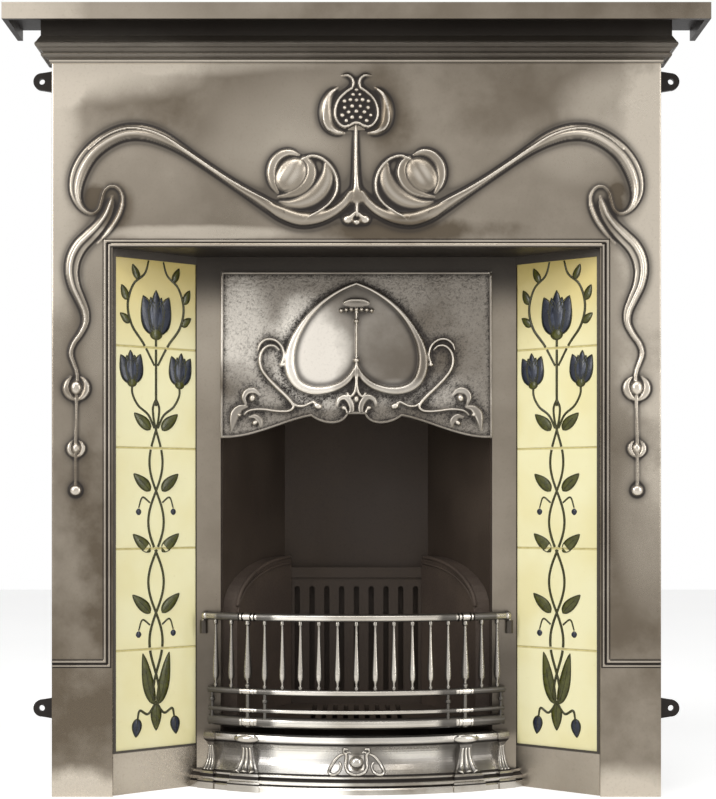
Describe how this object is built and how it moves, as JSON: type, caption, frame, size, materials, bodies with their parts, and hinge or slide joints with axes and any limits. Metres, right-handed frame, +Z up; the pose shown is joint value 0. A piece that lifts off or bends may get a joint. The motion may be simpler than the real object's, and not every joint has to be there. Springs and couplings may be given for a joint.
{
  "type": "fireplace",
  "caption": "Free-standing cast iron fireplace: mantel shelf, relief-ornamented front, splayed tiled cheeks, hood, bow-fronted basket, ash-pan cover and firebox.",
  "frame": {"origin": "on the floor at the centre of the footprint, under the middle of the overall box", "axes": "+Z up; the front faces -Y; +X to the right as seen from the front"},
  "size_m": [1.036, 0.376, 1.172],
  "materials": {
    "cast_iron": "polished and waxed bare iron, satin, darker in the recesses",
    "bright_bars": "brightly polished bare iron",
    "black_iron": "matt black, sooty",
    "lining": "matt fire-brick, blackened by soot",
    "tile_glaze": "cream glaze with olive and slate-blue decoration",
    "fastener": "oil-blackened steel",
    "pan_steel": "black-painted sheet steel"
  },
  "bodies": {
    "fireplace": {"mantel_shelf": "cast_iron", "shelf_bolts": "fastener", "surround": "cast_iron", "cheek_left": "cast_iron", "cheek_right": "cast_iron", "tile_left_1": "tile_glaze", "tile_left_2": "tile_glaze", "tile_left_3": "tile_glaze", "tile_left_4": "tile_glaze", "tile_left_5": "tile_glaze", "tile_right_1": "tile_glaze", "tile_right_2": "tile_glaze", "tile_right_3": "tile_glaze", "tile_right_4": "tile_glaze", "tile_right_5": "tile_glaze", "tile_back_left": "black_iron", "tile_back_right": "black_iron", "tile_back_screws": "fastener", "cheek_bolts": "fastener", "soffit_plate": "cast_iron", "soffit_bolts": "fastener", "inner_frame": "cast_iron", "hood": "cast_iron", "hood_bolts": "fastener", "firebox_casing": "black_iron", "firebox_bolts": "fastener", "lining_left": "lining", "lining_right": "lining", "back_plate": "black_iron", "throat_plate": "black_iron", "throat_bolts": "fastener", "damper_pin": "fastener"},
    "basket": {"top_bar": "bright_bars", "spindles": "bright_bars", "basket_posts": "bright_bars", "lower_bars": "bright_bars"},
    "grate": {"bottom_grate": "black_iron"},
    "ash_cover": {"ash_pan_cover": "cast_iron"},
    "ash_pan_body": {"ash_pan": "pan_steel", "ash_pan_handle": "pan_steel"},
    "damper": {"damper_flap": "black_iron"}
  },
  "joints": [
    {"name": "basket_lift", "type": "slide", "parent": "fireplace", "child": "basket", "axis": [0, 0, 1], "range_m": [0, 0.2]},
    {"name": "grate_lift", "type": "slide", "parent": "fireplace", "child": "grate", "axis": [0, 0, 1], "range_m": [0, 0.1]},
    {"name": "ash_cover_slide", "type": "slide", "parent": "fireplace", "child": "ash_cover", "axis": [0, -1, 0], "range_m": [0, 0.45]},
    {"name": "ash_pan_slide", "type": "slide", "parent": "fireplace", "child": "ash_pan_body", "axis": [0, -1, 0], "range_m": [0, 0.28]},
    {"name": "damper_swing", "type": "hinge", "parent": "fireplace", "child": "damper", "pos_m": [0, 0.131, 0.8153], "axis": [-1, 0, 0], "range_deg": [0, 75]}
  ],
  "couplings": [
    {"joint": "ash_pan_slide", "follows": "ash_cover_slide", "ratio": 0.6}
  ]
}
